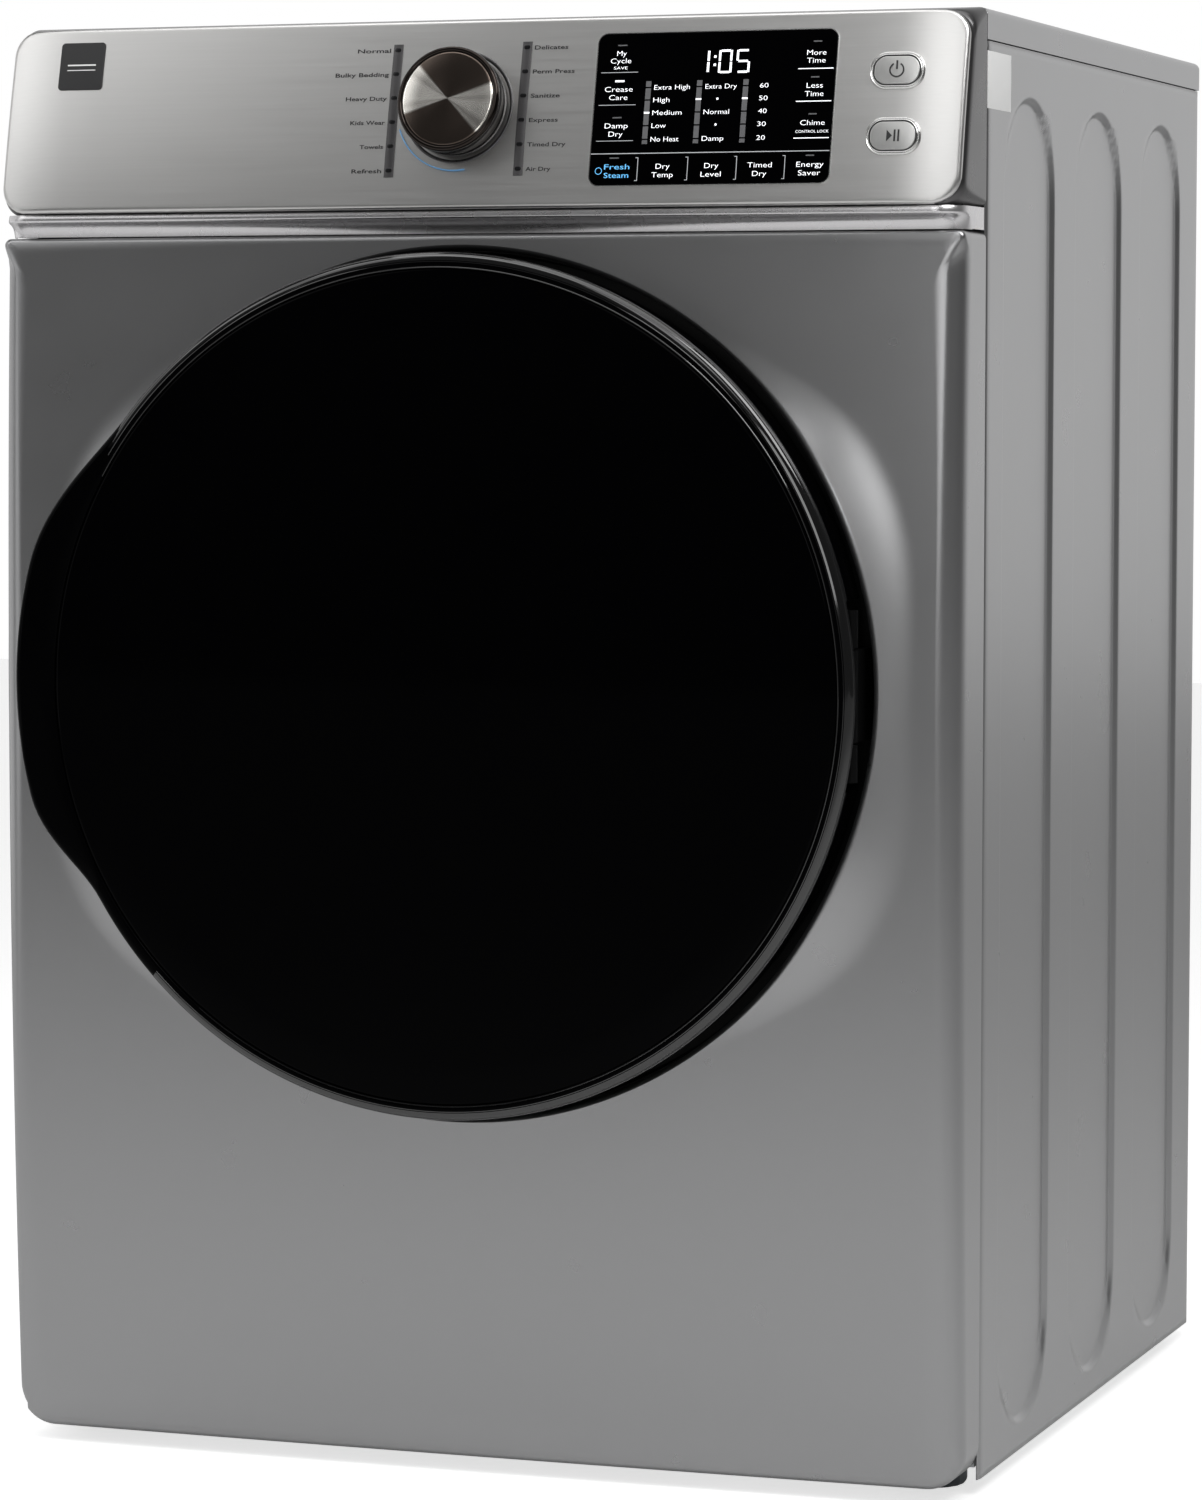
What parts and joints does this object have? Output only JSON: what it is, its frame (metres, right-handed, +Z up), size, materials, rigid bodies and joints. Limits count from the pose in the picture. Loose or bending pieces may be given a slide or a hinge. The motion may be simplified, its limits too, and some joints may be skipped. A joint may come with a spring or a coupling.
{
  "type": "front-loading clothes dryer",
  "caption": "Full-size front-loading clothes dryer with a round side-hinged door, leaning control console, knob, two push buttons and ribbed side panels.",
  "frame": {"origin": "on the floor, in the middle of the overall width and depth", "axes": "+Z up, -Y out of the front with the door, +X to the right seen from the front"},
  "size_m": [0.686, 0.74, 0.984],
  "materials": {
    "steel": "metallic graphite paint, satin",
    "fascia": "fine brushed satin silver",
    "zinc": "galvanised sheet",
    "gloss_black": "piano black gloss",
    "dark_plastic": "fine grained dark grey",
    "grey_plastic": "satin mid grey",
    "white_plastic": "natural white moulding",
    "black_glass": "black backed gloss glass",
    "chrome": "polished",
    "spun": "spun with radial sheen",
    "light": "translucent light guide",
    "rubber": "matt",
    "felt": "dense felt",
    "board": "solder resist",
    "cast": "painted motor shell"
  },
  "bodies": {
    "cabinet": {"left_side_panel": "steel", "right_side_panel": "steel", "front_panel": "steel", "worktop": "steel", "rear_panel": "steel", "terminal_cover": "steel", "console_fascia": "fascia", "base_pan": "zinc", "front_bulkhead": "zinc", "rear_bulkhead": "zinc", "rear_air_duct": "zinc", "heater_box": "zinc", "exhaust_pipe": "zinc", "blower_housing": "zinc", "motor_bracket": "zinc", "idler_arm": "zinc", "rear_roller_left_shaft": "zinc", "rear_roller_right_shaft": "zinc", "hinge_bracket": "zinc", "console_cove": "gloss_black", "display_glass": "black_glass", "led_bar_left": "dark_plastic", "led_bar_right": "dark_plastic", "badge_plate": "dark_plastic", "door_strike": "dark_plastic", "board_tray": "grey_plastic", "lint_duct": "white_plastic", "power_button_bezel": "chrome", "start_button_bezel": "chrome", "knob_ring": "light", "drive_belt": "rubber", "door_gasket": "rubber", "drum_front_seal": "felt", "drum_rear_seal": "felt", "control_board": "board", "motor": "cast"},
    "door": {"door_rim": "gloss_black", "door_glass": "black_glass", "door_liner": "grey_plastic", "door_bowl": "white_plastic", "door_latch_hook": "zinc", "hinge_arm": "zinc"},
    "drum": {"drum": "zinc", "drum_baffle_1": "zinc", "drum_baffle_2": "zinc", "drum_baffle_3": "zinc"},
    "rotor": {"motor_rotor": "zinc", "blower_wheel": "white_plastic"},
    "idler": {"idler_pulley": "grey_plastic"},
    "roller_left": {"rear_roller_left": "rubber"},
    "roller_right": {"rear_roller_right": "rubber"},
    "knob": {"control_knob": "gloss_black", "knob_cap": "spun"},
    "power_key": {"power_button": "grey_plastic"},
    "start_key": {"start_button": "grey_plastic"},
    "filter": {"lint_filter": "white_plastic"},
    "foot_fl": {"foot_front_left": "dark_plastic"},
    "foot_fr": {"foot_front_right": "dark_plastic"},
    "foot_rl": {"foot_rear_left": "dark_plastic"},
    "foot_rr": {"foot_rear_right": "dark_plastic"}
  },
  "joints": [
    {"name": "door_swing", "type": "hinge", "parent": "cabinet", "child": "door", "pos_m": [0.276, -0.352, 0.5365], "axis": [0, 0, 1], "range_deg": [0, 130]},
    {"name": "drum_spin", "type": "hinge", "parent": "cabinet", "child": "drum", "pos_m": [-0.006, 0.05, 0.5365], "axis": [0, 1, 0], "continuous": true},
    {"name": "motor_spin", "type": "hinge", "parent": "cabinet", "child": "rotor", "pos_m": [0.135, -0.09, 0.135], "axis": [0, 1, 0], "continuous": true},
    {"name": "idler_spin", "type": "hinge", "parent": "cabinet", "child": "idler", "pos_m": [0.07, 0.006, 0.165], "axis": [0, 1, 0], "continuous": true},
    {"name": "roller_left_spin", "type": "hinge", "parent": "cabinet", "child": "roller_left", "pos_m": [-0.19395, 0.298, 0.25521], "axis": [0, 1, 0], "continuous": true},
    {"name": "roller_right_spin", "type": "hinge", "parent": "cabinet", "child": "roller_right", "pos_m": [0.18195, 0.298, 0.25521], "axis": [0, 1, 0], "continuous": true},
    {"name": "knob_turn", "type": "hinge", "parent": "cabinet", "child": "knob", "pos_m": [-0.007, -0.32077, 0.92236], "axis": [0, -0.9755, 0.2198], "continuous": true},
    {"name": "power_button_press", "type": "slide", "parent": "cabinet", "child": "power_key", "axis": [0, 0.9755, -0.2198], "range_m": [0, 0.0012], "stiffness_N_per_m": 400, "springref_m": -0.0004},
    {"name": "start_button_press", "type": "slide", "parent": "cabinet", "child": "start_key", "axis": [0, 0.9755, -0.2198], "range_m": [0, 0.0012], "stiffness_N_per_m": 400, "springref_m": -0.0004},
    {"name": "filter_lift", "type": "slide", "parent": "cabinet", "child": "filter", "axis": [0, 0, 1], "range_m": [0, 0.15]},
    {"name": "foot_fl_turn", "type": "hinge", "parent": "cabinet", "child": "foot_fl", "pos_m": [-0.3, -0.235, 0], "axis": [0, 0, 1], "continuous": true},
    {"name": "foot_fr_turn", "type": "hinge", "parent": "cabinet", "child": "foot_fr", "pos_m": [0.3, -0.235, 0], "axis": [0, 0, 1], "continuous": true},
    {"name": "foot_rl_turn", "type": "hinge", "parent": "cabinet", "child": "foot_rl", "pos_m": [-0.3, 0.315, 0], "axis": [0, 0, 1], "continuous": true},
    {"name": "foot_rr_turn", "type": "hinge", "parent": "cabinet", "child": "foot_rr", "pos_m": [0.3, 0.315, 0], "axis": [0, 0, 1], "continuous": true}
  ],
  "couplings": [
    {"joint": "motor_spin", "follows": "drum_spin", "ratio": 26.5},
    {"joint": "idler_spin", "follows": "drum_spin", "ratio": 17.667},
    {"joint": "roller_left_spin", "follows": "drum_spin", "ratio": -15.9},
    {"joint": "roller_right_spin", "follows": "drum_spin", "ratio": -15.9}
  ]
}
